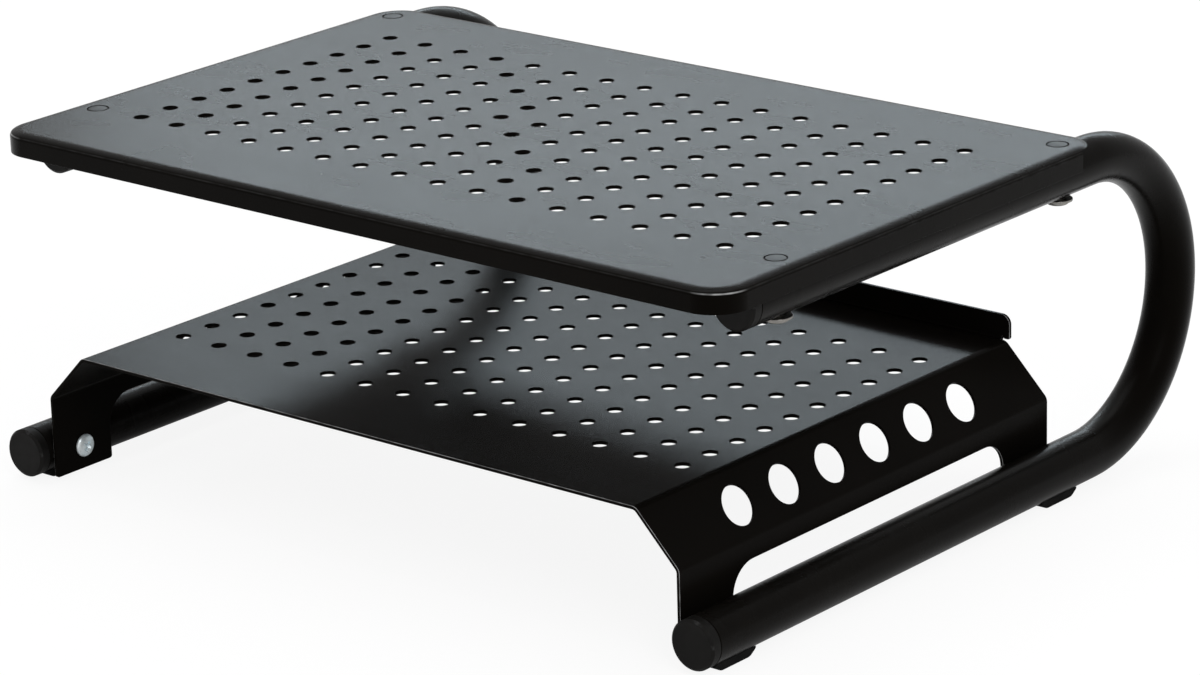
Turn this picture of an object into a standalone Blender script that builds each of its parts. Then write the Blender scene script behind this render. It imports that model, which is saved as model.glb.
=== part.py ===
"""Two-tier desk riser: a perforated pan and a folded lower shelf on two C-shaped tube legs.

Metres, +X to the right, +Y to the back, +Z up.  The origin lies on the desk under the
middle of the whole stand.
"""
import math

import bmesh
import bpy
from mathutils import Matrix, Vector

OBJECT_NAME = "desk_riser"

# Sheet metal of the pan and of the lower shelf, and the gap left between touching pieces
SHEET = 0.0010
SHELF_SHEET = 0.0014
GAP = 0.0003

# Bent tube legs
TUBE_RADIUS = 0.0100
TUBE_WALL = 0.0012
TUBE_X = 0.1740
BEND_RADIUS = 0.0610
BEND_Y = 0.0890
BEND_STEPS = 6
LOWER_AXIS_Z = 0.0120
UPPER_AXIS_Z = LOWER_AXIS_Z + 2 * BEND_RADIUS
LOWER_TUBE_FRONT_Y = -0.1550
UPPER_TUBE_FRONT_Y = -0.1280
TUBE_BEVEL_RESOLUTION = 4
BORE_BEVEL_RESOLUTION = 2
BORE_OVERRUN = 0.0050
DRILL_SIDES = 8

# Top shelf: a drawn pan with a down-turned rim
TOP_Z = UPPER_AXIS_Z + TUBE_RADIUS + GAP + SHEET
PAN_SIDE_GAP = 0.0010
PAN_WIDTH = 2 * (TUBE_X + TUBE_RADIUS + PAN_SIDE_GAP + SHEET)
PAN_DEPTH = 0.2385
PAN_RIM_HEIGHT = 0.0091
PAN_CORNER_RADIUS = 0.0150
PAN_EDGE_RADIUS = 0.0030
PAN_CORNER_STEPS = 4
PAN_EDGE_STEPS = 3
SHELF_FRONT_Y = -0.1535
PAN_REAR_Y = SHELF_FRONT_Y + PAN_DEPTH
PAN_CENTRE_Y = SHELF_FRONT_Y + PAN_DEPTH / 2
RELIEF_INSIDE_X = TUBE_X - TUBE_RADIUS - 2 * PAN_SIDE_GAP
RELIEF_STEP = 0.0002

# Perforation, the same pitch on both shelves
HOLE_RADIUS = 0.0032
HOLE_SIDES = 7
HOLE_PITCH_X = 0.0200
HOLE_PITCH_Y = 0.0165
HOLE_ROWS = 10
TOP_HOLE_COLUMNS = 16
TOP_GRID_Y = -0.0322
DECK_HOLE_COLUMNS = 14
DECK_GRID_Y = -0.0352

# Lower shelf: deck, slanted sides, upright flanges with a tab at each end, and a rear lip
DECK_Z = 0.0570
DECK_HALF_WIDTH = 0.1437
FLANGE_X = TUBE_X - TUBE_RADIUS - GAP
FLANGE_TOP_Z = 0.0367
FLANGE_BOTTOM_Z = 0.0020
SHELF_DEPTH = 0.2328
FOLD_RADIUS = 0.0040
FOLD_STEPS = 3
SHELF_REAR_Y = SHELF_FRONT_Y + SHELF_DEPTH
SHELF_CENTRE_Y = SHELF_FRONT_Y + SHELF_DEPTH / 2
LIP_HEIGHT = 0.0102
LIP_HALF_WIDTH = 0.1448
LIP_FOLD_RADIUS = 0.0008
LIP_CORNER_RADIUS = 0.0040
TAB_LENGTH = 0.0310
NOTCH_TOP_Z = 0.0280
NOTCH_CORNER_RADIUS = 0.0120
NOTCH_CORNER_STEPS = 4
SIDE_HOLE_LONG = 0.0094
SIDE_HOLE_SHORT = 0.0071
SIDE_HOLE_LEAN = math.radians(46)
SIDE_HOLE_DROP = 0.0010
SIDE_HOLE_PITCH = 0.0281
SIDE_HOLE_COUNT = 6
SIDE_HOLE_SIDES = 12

# Tube end plugs
PLUG_HEAD_LENGTH = 0.0050
PLUG_CHAMFER = 0.0010
PLUG_STEM_LENGTH = 0.0100
PLUG_STEPS = 12

# Saddle feet under the lower arms
FOOT_LENGTH = 0.0240
FOOT_WIDTH = 0.0110
FOOT_BLOCK_HEIGHT = 0.0060
FOOT_END_BEVEL = 0.0030
FOOT_SIDE_BEVEL = 0.0010
FOOT_Y = (-0.1412, 0.0645)
SADDLE_SIDES = 16

# Shelf fixings: flush threaded inserts, washers and pan-head bolts through the upper arms
SHELF_BOLT_Y = (-0.1073, 0.0700)
INSERT_HEAD_RADIUS = 0.0043
INSERT_STEM_RADIUS = 0.0036
INSERT_LENGTH = 0.0140
INSERT_BORE_DEPTH = 0.0110
INSERT_STEPS = 12
WASHER_RADIUS = 0.0060
WASHER_THICKNESS = 0.0010
WASHER_STEPS = 10
BOLT_SHANK_RADIUS = 0.0020
BOLT_SHANK_LENGTH = 0.0185
BOLT_HEAD_RADIUS = 0.0044
BOLT_HEAD_HEIGHT = 0.0016

# Tab fixings: pan-head screws from the inner side into rivet nuts in the lower arms
TAB_SCREW_Y = (SHELF_FRONT_Y + TAB_LENGTH / 2, SHELF_REAR_Y - TAB_LENGTH / 2)
SCREW_SHANK_RADIUS = 0.0023
SCREW_SHANK_LENGTH = 0.0110
SCREW_HEAD_RADIUS = 0.0047
SCREW_HEAD_HEIGHT = 0.0021
SCREW_STEPS = 9
RIVET_NUT_RADIUS = 0.0036
RIVET_NUT_LENGTH = 0.0090
RIVET_NUT_STEPS = 8

# A pan head's height shares at its shoulder and near its crown
HEAD_SHOULDER_SHARE = 0.45
HEAD_CROWN_SHARE = 0.94
HEAD_CROWN_RADIUS_SHARE = 0.60

# Cutters reach this far past the surfaces they cut
OVERRUN = 0.0100
MERGE_DISTANCE = 0.00001
SMOOTH_ANGLE = math.radians(32)

# Finishes: colour, roughness, metallic
FINISHES = {
    "powder_coat_sheet": ((0.022, 0.023, 0.024, 1.0), 0.42, 0.0),
    "powder_coat_tube": ((0.016, 0.015, 0.015, 1.0), 0.38, 0.0),
    "plug_plastic": ((0.024, 0.023, 0.025, 1.0), 0.55, 0.0),
    "foot_rubber": ((0.010, 0.010, 0.010, 1.0), 0.80, 0.0),
    "zinc_plate": ((0.620, 0.640, 0.640, 1.0), 0.28, 1.0),
    "insert_steel": ((0.022, 0.023, 0.024, 1.0), 0.42, 0.0),
}


def clear_scene():
    for old in list(bpy.data.objects):
        bpy.data.objects.remove(old, do_unlink=True)


def new_collection(name):
    collection = bpy.data.collections.new(name)
    bpy.context.scene.collection.children.link(collection)
    return collection


def new_material(name):
    colour, roughness, metallic = FINISHES[name]
    material = bpy.data.materials.new(name)
    material.use_nodes = True
    shader = material.node_tree.nodes["Principled BSDF"]
    shader.inputs["Base Color"].default_value = colour
    shader.inputs["Roughness"].default_value = roughness
    shader.inputs["Metallic"].default_value = metallic
    material.diffuse_color = colour
    return material


def to_mesh(bm, name):
    mesh = bpy.data.meshes.new(name)
    bm.to_mesh(mesh)
    bm.free()
    return mesh


def smooth(mesh):
    mesh.shade_smooth()
    mesh.set_sharp_from_angle(angle=SMOOTH_ANGLE)


class Stand:
    """Holds the collections and finishes, and adds pieces and cutters to them."""

    def __init__(self):
        self.parts = new_collection(OBJECT_NAME)
        self.cutters = new_collection(OBJECT_NAME + "_cutters")
        self.finishes = {name: new_material(name) for name in FINISHES}
        self.base = bpy.data.objects.new(OBJECT_NAME + "_base", None)
        self.parts.objects.link(self.base)

    def part(self, name, mesh, finish, location=(0, 0, 0), rotation=(0, 0, 0)):
        piece = bpy.data.objects.new(name, mesh)
        piece.location = location
        piece.rotation_euler = rotation
        piece.parent = self.base
        if not mesh.materials:
            mesh.materials.append(self.finishes[finish])
        self.parts.objects.link(piece)
        return piece

    def cutter(self, name, mesh, location=(0, 0, 0), rotation=(0, 0, 0)):
        tool = bpy.data.objects.new(name, mesh)
        tool.location = location
        tool.rotation_euler = rotation
        tool.hide_render = True
        tool.display_type = "WIRE"
        self.cutters.objects.link(tool)
        return tool


def cut(piece, tool):
    modifier = piece.modifiers.new("cut_" + tool.name, "BOOLEAN")
    modifier.operation = "DIFFERENCE"
    modifier.solver = "EXACT"
    modifier.object = tool


def repeat(tool, count, step):
    modifier = tool.modifiers.new("repeat", "ARRAY")
    modifier.count = count
    modifier.use_relative_offset = False
    modifier.use_constant_offset = True
    modifier.constant_offset_displace = step


def add_box(bm, low, high):
    low = Vector(low)
    high = Vector(high)
    place = Matrix.Translation((low + high) / 2) @ Matrix.Diagonal((*(high - low), 1.0))
    return bmesh.ops.create_cube(bm, size=1.0, matrix=place)["verts"]


def add_cylinder(bm, radius, length, centre, axis, sides):
    turn = Vector((0, 0, 1)).rotation_difference(Vector(axis)).to_matrix().to_4x4()
    half_side = Matrix.Rotation(math.pi / sides, 4, "Z")
    bmesh.ops.create_cone(
        bm, cap_ends=True, segments=sides, radius1=radius, radius2=radius, depth=length,
        matrix=Matrix.Translation(Vector(centre)) @ turn @ half_side)


def clear_radius(radius, sides):
    """The corner radius of a drill with that many sides whose flats clear a round piece."""
    return (radius + GAP) / math.cos(math.pi / sides)


def rounded_path(corners, radius, steps):
    """Straight runs through the corners, with an arc of the given radius at each inner one."""
    corners = [Vector(corner) for corner in corners]
    points = [corners[0]]
    for before, corner, after in zip(corners, corners[1:], corners[2:]):
        back = (before - corner).normalized()
        ahead = (after - corner).normalized()
        half = back.angle(ahead) / 2
        centre = corner + (back + ahead).normalized() * radius / math.sin(half)
        first = corner + back * radius / math.tan(half) - centre
        last = corner + ahead * radius / math.tan(half) - centre
        sweep = math.pi - 2 * half
        for step in range(steps + 1):
            share = step / steps
            arm = first * math.sin((1 - share) * sweep) + last * math.sin(share * sweep)
            points.append(centre + arm / math.sin(sweep))
    points.append(corners[-1])
    kept = [points[0]]
    for point in points[1:]:
        if (point - kept[-1]).length > MERGE_DISTANCE:
            kept.append(point)
    return kept


def swept_mesh(name, path, radius, bevel_resolution):
    """A solid round bar along the path, with its end caps welded on."""
    curve = bpy.data.curves.new(name, "CURVE")
    curve.dimensions = "3D"
    curve.bevel_depth = radius
    curve.bevel_resolution = bevel_resolution
    curve.use_fill_caps = True
    spline = curve.splines.new("POLY")
    spline.points.add(len(path) - 1)
    for point, place in zip(spline.points, path):
        point.co = (*place, 1.0)
    holder = bpy.data.objects.new(name, curve)
    bpy.context.scene.collection.objects.link(holder)
    evaluated = holder.evaluated_get(bpy.context.evaluated_depsgraph_get())
    mesh = bpy.data.meshes.new_from_object(evaluated)
    bpy.data.objects.remove(holder, do_unlink=True)
    bpy.data.curves.remove(curve)
    bm = bmesh.new()
    bm.from_mesh(mesh)
    bmesh.ops.remove_doubles(bm, verts=bm.verts, dist=MERGE_DISTANCE)
    bmesh.ops.recalc_face_normals(bm, faces=bm.faces)
    bm.to_mesh(mesh)
    bm.free()
    mesh.name = name
    return mesh


def turned_mesh(name, profile, closed):
    """A profile of (radius, height) points that runs down its outer side, for a Screw modifier."""
    bm = bmesh.new()
    points = [bm.verts.new((radius, 0.0, height)) for radius, height in profile]
    for first, second in zip(points, points[1:]):
        bm.edges.new((first, second))
    if closed:
        bm.edges.new((points[-1], points[0]))
    return to_mesh(bm, name)


def turn(piece, steps):
    modifier = piece.modifiers.new("turn", "SCREW")
    modifier.steps = steps
    modifier.render_steps = steps
    modifier.use_merge_vertices = True
    modifier.merge_threshold = MERGE_DISTANCE


def pan_block(name, width, depth, low_z, high_z, corner_radius, edge_radius):
    """A block with rounded upright corners and a rounded top edge."""
    bm = bmesh.new()
    half = Vector((width / 2, depth / 2, 0))
    add_box(bm, (-half.x, -half.y, low_z), (half.x, half.y, high_z))
    upright = [e for e in bm.edges if abs(e.verts[0].co.z - e.verts[1].co.z) > MERGE_DISTANCE]
    bmesh.ops.bevel(bm, geom=upright, offset=corner_radius, segments=PAN_CORNER_STEPS,
                    profile=0.5, affect="EDGES")
    top = [e for e in bm.edges if all(v.co.z > high_z - MERGE_DISTANCE for v in e.verts)]
    bmesh.ops.bevel(bm, geom=top, offset=edge_radius, segments=PAN_EDGE_STEPS,
                    profile=0.5, affect="EDGES")
    return to_mesh(bm, name)


def perforation(stand, name, columns, centre_y, top_z):
    """A grid of drill cylinders standing through a shelf."""
    bm = bmesh.new()
    add_cylinder(bm, HOLE_RADIUS, 2 * OVERRUN, (0, 0, 0), (0, 0, 1), HOLE_SIDES)
    first_x = -HOLE_PITCH_X * (columns - 1) / 2
    first_y = centre_y - HOLE_PITCH_Y * (HOLE_ROWS - 1) / 2
    tool = stand.cutter(name, to_mesh(bm, name), (first_x, first_y, top_z))
    repeat(tool, columns, (HOLE_PITCH_X, 0, 0))
    repeat(tool, HOLE_ROWS, (0, HOLE_PITCH_Y, 0))
    return tool


def make_top_shelf(stand):
    block = pan_block("top_shelf", PAN_WIDTH, PAN_DEPTH, TOP_Z - PAN_RIM_HEIGHT, TOP_Z,
                      PAN_CORNER_RADIUS, PAN_EDGE_RADIUS)
    shelf = stand.part("top_shelf", block, "powder_coat_sheet", (0, PAN_CENTRE_Y, 0))
    hollow = pan_block("pan_hollow", PAN_WIDTH - 2 * SHEET, PAN_DEPTH - 2 * SHEET,
                       TOP_Z - PAN_RIM_HEIGHT - OVERRUN, TOP_Z - SHEET,
                       PAN_CORNER_RADIUS - SHEET, PAN_EDGE_RADIUS - SHEET)
    cut(shelf, stand.cutter("pan_hollow", hollow, (0, PAN_CENTRE_Y, 0)))

    # The rim stops short of both rear corners, where the legs come out
    bm = bmesh.new()
    for side in (-1, 1):
        ends = sorted((side * RELIEF_INSIDE_X, side * (PAN_WIDTH / 2 + OVERRUN)))
        add_box(bm, (ends[0], PAN_REAR_Y - PAN_CORNER_RADIUS, TOP_Z - PAN_RIM_HEIGHT - OVERRUN),
                (ends[1], PAN_REAR_Y + OVERRUN, TOP_Z - SHEET + RELIEF_STEP))
    cut(shelf, stand.cutter("leg_reliefs", to_mesh(bm, "leg_reliefs")))

    bm = bmesh.new()
    for side in (-1, 1):
        for y in SHELF_BOLT_Y:
            add_cylinder(bm, clear_radius(INSERT_HEAD_RADIUS, INSERT_STEPS), 2 * OVERRUN,
                         (side * TUBE_X, y, TOP_Z), (0, 0, 1), INSERT_STEPS)
    cut(shelf, stand.cutter("insert_holes", to_mesh(bm, "insert_holes")))
    cut(shelf, perforation(stand, "top_perforation", TOP_HOLE_COLUMNS, TOP_GRID_Y, TOP_Z))
    smooth(block)


def folded_sheet():
    """The lower shelf's outer surface: one folded strip with a lip turned up along its back."""
    corners = [(-FLANGE_X, 0, FLANGE_BOTTOM_Z), (-FLANGE_X, 0, FLANGE_TOP_Z),
               (-DECK_HALF_WIDTH, 0, DECK_Z), (DECK_HALF_WIDTH, 0, DECK_Z),
               (FLANGE_X, 0, FLANGE_TOP_Z), (FLANGE_X, 0, FLANGE_BOTTOM_Z)]
    rear = SHELF_REAR_Y - LIP_FOLD_RADIUS
    bm = bmesh.new()
    strip = [bm.verts.new((p.x, SHELF_FRONT_Y, p.z))
             for p in rounded_path(corners, FOLD_RADIUS, FOLD_STEPS)]
    front = [bm.edges.new(pair) for pair in zip(strip, strip[1:])]
    grown = bmesh.ops.extrude_edge_only(bm, edges=front)["geom"]
    moved = [g for g in grown if isinstance(g, bmesh.types.BMVert)]
    bmesh.ops.translate(bm, verts=moved, vec=(0, rear - SHELF_FRONT_Y, 0))
    edge = max((g for g in grown if isinstance(g, bmesh.types.BMEdge)),
               key=lambda e: e.calc_length() if abs(e.verts[0].co.y - e.verts[1].co.y) < GAP else 0)

    # The lip's rounded ends stand a little past the deck's side folds
    lip = rounded_path([(rear, DECK_Z), (SHELF_REAR_Y, DECK_Z), (SHELF_REAR_Y, DECK_Z + LIP_HEIGHT)],
                       LIP_FOLD_RADIUS - MERGE_DISTANCE, FOLD_STEPS)
    start_half_width = edge.calc_length() / 2
    for step, (place, following) in enumerate(zip(lip, lip[1:])):
        grown = bmesh.ops.extrude_edge_only(bm, edges=[edge])["geom"]
        moved = [g for g in grown if isinstance(g, bmesh.types.BMVert)]
        bmesh.ops.translate(bm, verts=moved, vec=(0, following.x - place.x, following.y - place.y))
        edge = next(g for g in grown if isinstance(g, bmesh.types.BMEdge)
                    and all(v in moved for v in g.verts))
        if step == FOLD_STEPS:
            bmesh.ops.scale(bm, verts=moved, vec=(LIP_HALF_WIDTH / start_half_width, 1, 1))
    bmesh.ops.bevel(bm, geom=list(edge.verts), offset=LIP_CORNER_RADIUS, segments=FOLD_STEPS,
                    profile=0.5, affect="VERTICES")
    bmesh.ops.recalc_face_normals(bm, faces=bm.faces)
    bm.faces.ensure_lookup_table()
    deck = max(bm.faces, key=lambda face: face.calc_area())
    if deck.normal.z < 0:
        bmesh.ops.reverse_faces(bm, faces=bm.faces)
    return to_mesh(bm, "lower_shelf")


def make_lower_shelf(stand):
    sheet = folded_sheet()
    shelf = stand.part("lower_shelf", sheet, "powder_coat_sheet")
    thickness = shelf.modifiers.new("thickness", "SOLIDIFY")
    thickness.thickness = SHELF_SHEET
    thickness.offset = -1.0
    thickness.use_even_offset = True

    # The long notch under each side leaves a tab at the front and at the back
    bm = bmesh.new()
    low = (-FLANGE_X - OVERRUN, SHELF_FRONT_Y + TAB_LENGTH, FLANGE_BOTTOM_Z - OVERRUN)
    high = (FLANGE_X + OVERRUN, SHELF_REAR_Y - TAB_LENGTH, NOTCH_TOP_Z)
    add_box(bm, low, high)
    upper_ends = [e for e in bm.edges
                  if all(v.co.z > NOTCH_TOP_Z - GAP for v in e.verts)
                  and abs(e.verts[0].co.y - e.verts[1].co.y) < GAP]
    bmesh.ops.bevel(bm, geom=upper_ends, offset=NOTCH_CORNER_RADIUS, segments=NOTCH_CORNER_STEPS,
                    profile=0.5, affect="EDGES")
    cut(shelf, stand.cutter("side_notches", to_mesh(bm, "side_notches")))

    # Six oval holes along each slanted side, leaning back as they rise
    slope = math.atan2(DECK_Z - FLANGE_TOP_Z, FLANGE_X - DECK_HALF_WIDTH)
    for side, name in ((-1, "left_side_holes"), (1, "right_side_holes")):
        bm = bmesh.new()
        add_cylinder(bm, 1.0, 2 * OVERRUN, (0, 0, 0), (0, 0, 1), SIDE_HOLE_SIDES)
        oval = (Matrix.Rotation(side * SIDE_HOLE_LEAN, 4, "Z")
                @ Matrix.Diagonal((SIDE_HOLE_SHORT, SIDE_HOLE_LONG, 1, 1)))
        bmesh.ops.transform(bm, matrix=oval, verts=bm.verts)
        first = (side * ((DECK_HALF_WIDTH + FLANGE_X) / 2 + SIDE_HOLE_DROP * math.cos(slope)),
                 SHELF_CENTRE_Y - SIDE_HOLE_PITCH * (SIDE_HOLE_COUNT - 1) / 2,
                 (DECK_Z + FLANGE_TOP_Z) / 2 - SIDE_HOLE_DROP * math.sin(slope))
        tool = stand.cutter(name, to_mesh(bm, name), first, (0, side * slope, 0))
        repeat(tool, SIDE_HOLE_COUNT, (0, SIDE_HOLE_PITCH, 0))
        cut(shelf, tool)

    bm = bmesh.new()
    for side in (-1, 1):
        for y in TAB_SCREW_Y:
            add_cylinder(bm, clear_radius(SCREW_SHANK_RADIUS, DRILL_SIDES), 2 * OVERRUN,
                         (side * FLANGE_X, y, LOWER_AXIS_Z), (1, 0, 0), DRILL_SIDES)
    cut(shelf, stand.cutter("tab_screw_holes", to_mesh(bm, "tab_screw_holes")))
    cut(shelf, perforation(stand, "deck_perforation", DECK_HOLE_COLUMNS, DECK_GRID_Y, DECK_Z))
    smooth(sheet)


def leg_path(overrun=0.0):
    """The tube's centre line: upper arm, half-round bend at the back, lower arm."""
    rear = BEND_Y + BEND_RADIUS
    corners = [(0, UPPER_TUBE_FRONT_Y - overrun, UPPER_AXIS_Z), (0, rear, UPPER_AXIS_Z),
               (0, rear, LOWER_AXIS_Z), (0, LOWER_TUBE_FRONT_Y - overrun, LOWER_AXIS_Z)]
    return rounded_path(corners, BEND_RADIUS, BEND_STEPS)


def make_leg(stand, side, name):
    tube = swept_mesh(name, leg_path(), TUBE_RADIUS, TUBE_BEVEL_RESOLUTION)
    leg = stand.part(name, tube, "powder_coat_tube", (side * TUBE_X, 0, 0))
    bore = swept_mesh(name + "_bore", leg_path(BORE_OVERRUN), TUBE_RADIUS - TUBE_WALL,
                      BORE_BEVEL_RESOLUTION)
    cut(leg, stand.cutter(name + "_bore", bore, (side * TUBE_X, 0, 0)))

    bm = bmesh.new()
    for y in SHELF_BOLT_Y:
        for radius, height in ((INSERT_STEM_RADIUS, TUBE_RADIUS), (BOLT_SHANK_RADIUS, -TUBE_RADIUS)):
            add_cylinder(bm, clear_radius(radius, DRILL_SIDES), TUBE_RADIUS,
                         (0, y, UPPER_AXIS_Z + height), (0, 0, 1), DRILL_SIDES)
    for y in TAB_SCREW_Y:
        add_cylinder(bm, clear_radius(RIVET_NUT_RADIUS, DRILL_SIDES), TUBE_RADIUS,
                     (-side * TUBE_RADIUS, y, LOWER_AXIS_Z), (1, 0, 0), DRILL_SIDES)
    cut(leg, stand.cutter(name + "_holes", to_mesh(bm, name + "_holes"), (side * TUBE_X, 0, 0)))
    smooth(tube)


def make_plugs(stand):
    head = PLUG_HEAD_LENGTH
    stem = TUBE_RADIUS - TUBE_WALL - GAP - GAP
    profile = [(0, head), (TUBE_RADIUS - PLUG_CHAMFER, head), (TUBE_RADIUS, head - PLUG_CHAMFER),
               (TUBE_RADIUS, GAP), (stem, GAP), (stem, -PLUG_STEM_LENGTH), (0, -PLUG_STEM_LENGTH)]
    mesh = turned_mesh("end_plug", profile, closed=False)
    for side, side_name in ((-1, "left"), (1, "right")):
        for level, y, z in (("upper", UPPER_TUBE_FRONT_Y, UPPER_AXIS_Z),
                            ("lower", LOWER_TUBE_FRONT_Y, LOWER_AXIS_Z)):
            plug = stand.part(f"{side_name}_{level}_end_plug", mesh, "plug_plastic",
                              (side * TUBE_X, y, z), (math.pi / 2, 0, 0))
            turn(plug, PLUG_STEPS)


def make_feet(stand):
    bm = bmesh.new()
    half = Vector((FOOT_WIDTH / 2, FOOT_LENGTH / 2, 0))
    add_box(bm, (-half.x, -half.y, 0), (half.x, half.y, FOOT_BLOCK_HEIGHT))
    low = [e for e in bm.edges if all(v.co.z < GAP for v in e.verts)]
    ends = [e for e in low if abs(e.verts[0].co.y - e.verts[1].co.y) < GAP]
    bmesh.ops.bevel(bm, geom=ends, offset=FOOT_END_BEVEL, segments=1, affect="EDGES")
    sides = [e for e in bm.edges if all(v.co.z < GAP for v in e.verts)
             and abs(e.verts[0].co.x - e.verts[1].co.x) < GAP]
    bmesh.ops.bevel(bm, geom=sides, offset=FOOT_SIDE_BEVEL, segments=1, affect="EDGES")
    mesh = to_mesh(bm, "foot")
    for side, side_name in ((-1, "left"), (1, "right")):
        bm = bmesh.new()
        reach = 2 * BEND_Y + FOOT_LENGTH
        add_cylinder(bm, clear_radius(TUBE_RADIUS, SADDLE_SIDES), 2 * reach,
                     (side * TUBE_X, 0, LOWER_AXIS_Z), (0, 1, 0), SADDLE_SIDES)
        groove = stand.cutter(side_name + "_saddle", to_mesh(bm, side_name + "_saddle"))
        for end_name, y in zip(("front", "rear"), FOOT_Y):
            foot = stand.part(f"{side_name}_{end_name}_foot", mesh, "foot_rubber",
                              (side * TUBE_X, y, 0))
            cut(foot, groove)


def pan_head_profile(head_radius, head_height, shank_radius, shank_length):
    return [(0, head_height),
            (HEAD_CROWN_RADIUS_SHARE * head_radius, HEAD_CROWN_SHARE * head_height),
            (head_radius, HEAD_SHOULDER_SHARE * head_height), (head_radius, 0), (shank_radius, 0),
            (shank_radius, -shank_length), (0, -shank_length)]


def make_shelf_fixings(stand):
    bore = BOLT_SHANK_RADIUS + GAP
    insert = turned_mesh("shelf_insert", [
        (0, 0), (INSERT_HEAD_RADIUS, 0), (INSERT_HEAD_RADIUS, -SHEET), (INSERT_STEM_RADIUS, -SHEET),
        (INSERT_STEM_RADIUS, -INSERT_LENGTH), (bore, -INSERT_LENGTH),
        (bore, INSERT_BORE_DEPTH - INSERT_LENGTH), (0, INSERT_BORE_DEPTH - INSERT_LENGTH)], closed=False)
    washer = turned_mesh("washer", [
        (WASHER_RADIUS, 0), (WASHER_RADIUS, -WASHER_THICKNESS), (bore, -WASHER_THICKNESS), (bore, 0)],
        closed=True)
    bolt = turned_mesh("shelf_bolt", pan_head_profile(
        BOLT_HEAD_RADIUS, BOLT_HEAD_HEIGHT, BOLT_SHANK_RADIUS, BOLT_SHANK_LENGTH), closed=False)
    washer_z = UPPER_AXIS_Z - TUBE_RADIUS - GAP
    for side, side_name in ((-1, "left"), (1, "right")):
        for end_name, y in zip(("front", "rear"), SHELF_BOLT_Y):
            place = f"{side_name}_{end_name}"
            x = side * TUBE_X
            turn(stand.part(place + "_shelf_insert", insert, "insert_steel", (x, y, TOP_Z)),
                 INSERT_STEPS)
            turn(stand.part(place + "_washer", washer, "zinc_plate", (x, y, washer_z)), WASHER_STEPS)
            head_z = washer_z - WASHER_THICKNESS - GAP
            turn(stand.part(place + "_shelf_bolt", bolt, "zinc_plate", (x, y, head_z),
                            (math.pi, 0, 0)), SCREW_STEPS)


def make_tab_fixings(stand):
    screw = turned_mesh("tab_screw", pan_head_profile(
        SCREW_HEAD_RADIUS, SCREW_HEAD_HEIGHT, SCREW_SHANK_RADIUS, SCREW_SHANK_LENGTH), closed=False)
    bore = SCREW_SHANK_RADIUS + GAP
    nut = turned_mesh("rivet_nut", [
        (RIVET_NUT_RADIUS, 0), (RIVET_NUT_RADIUS, -RIVET_NUT_LENGTH), (bore, -RIVET_NUT_LENGTH),
        (bore, 0)], closed=True)
    for side, side_name in ((-1, "left"), (1, "right")):
        inward = (0, -side * math.pi / 2, 0)
        for end_name, y in zip(("front", "rear"), TAB_SCREW_Y):
            place = f"{side_name}_{end_name}"
            head_x = side * (FLANGE_X - SHELF_SHEET - GAP)
            turn(stand.part(place + "_tab_screw", screw, "zinc_plate", (head_x, y, LOWER_AXIS_Z),
                            inward), SCREW_STEPS)
            nut_x = side * (TUBE_X - TUBE_RADIUS + GAP)
            turn(stand.part(place + "_rivet_nut", nut, "zinc_plate", (nut_x, y, LOWER_AXIS_Z),
                            inward), RIVET_NUT_STEPS)


def main():
    clear_scene()
    stand = Stand()
    make_top_shelf(stand)
    make_lower_shelf(stand)
    make_leg(stand, -1, "left_leg_tube")
    make_leg(stand, 1, "right_leg_tube")
    make_plugs(stand)
    make_feet(stand)
    make_shelf_fixings(stand)
    make_tab_fixings(stand)


main()
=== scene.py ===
"""Looks of the two-tier desk riser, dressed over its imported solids.

Metres, +X to the right, +Y to the back, +Z up.  Heights and places that the solids already
have are read from their boxes; the rest are the sizes of folds, edges, heads and finishes.
"""
import math

import bmesh
import bpy
from mathutils import Matrix, Quaternion, Vector
from mathutils.geometry import delaunay_2d_cdt


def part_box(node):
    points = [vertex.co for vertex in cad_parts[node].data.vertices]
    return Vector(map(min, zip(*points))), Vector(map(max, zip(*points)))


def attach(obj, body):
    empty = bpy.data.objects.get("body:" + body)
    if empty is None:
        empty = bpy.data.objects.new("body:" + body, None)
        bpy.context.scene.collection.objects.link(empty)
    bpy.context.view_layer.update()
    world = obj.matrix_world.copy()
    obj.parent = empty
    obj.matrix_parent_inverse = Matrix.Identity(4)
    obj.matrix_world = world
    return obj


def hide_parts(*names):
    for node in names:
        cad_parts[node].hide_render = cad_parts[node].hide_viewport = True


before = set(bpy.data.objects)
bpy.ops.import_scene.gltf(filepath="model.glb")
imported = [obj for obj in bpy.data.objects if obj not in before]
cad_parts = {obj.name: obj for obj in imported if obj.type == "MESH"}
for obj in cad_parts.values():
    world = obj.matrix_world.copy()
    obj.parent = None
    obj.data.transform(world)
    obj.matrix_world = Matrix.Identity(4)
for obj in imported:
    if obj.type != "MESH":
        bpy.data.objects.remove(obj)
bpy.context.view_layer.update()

# Camera: where it stands, how it is turned and how it is framed
CAMERA_PLACE = (1.17739, -1.38214, 0.65977)
CAMERA_AZIMUTH = math.radians(40.4675)
CAMERA_ELEVATION = math.radians(18.514)
CAMERA_ROLL = math.radians(-1.635)
CAMERA_LENS_MM = 141.763
CAMERA_SENSOR_MM = 36.0

# Sheet metal of the pan and of the lower shelf, their rounded cut edges, and the gap between pieces
SHEET = 0.0010
SHELF_SHEET = 0.0014
CUT_EDGE_RADIUS = 0.00014
SHELF_EDGE_RADIUS = 0.0002
CUT_EDGE_STEPS = 3
EDGE_MARGIN = 0.00015
GAP = 0.0003
TINY = 0.00001
FILL_TOLERANCE = 0.0000001
OVERRUN = 0.0100
ARC_STEPS = 10
SMOOTH_ANGLE = math.radians(40)

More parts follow.
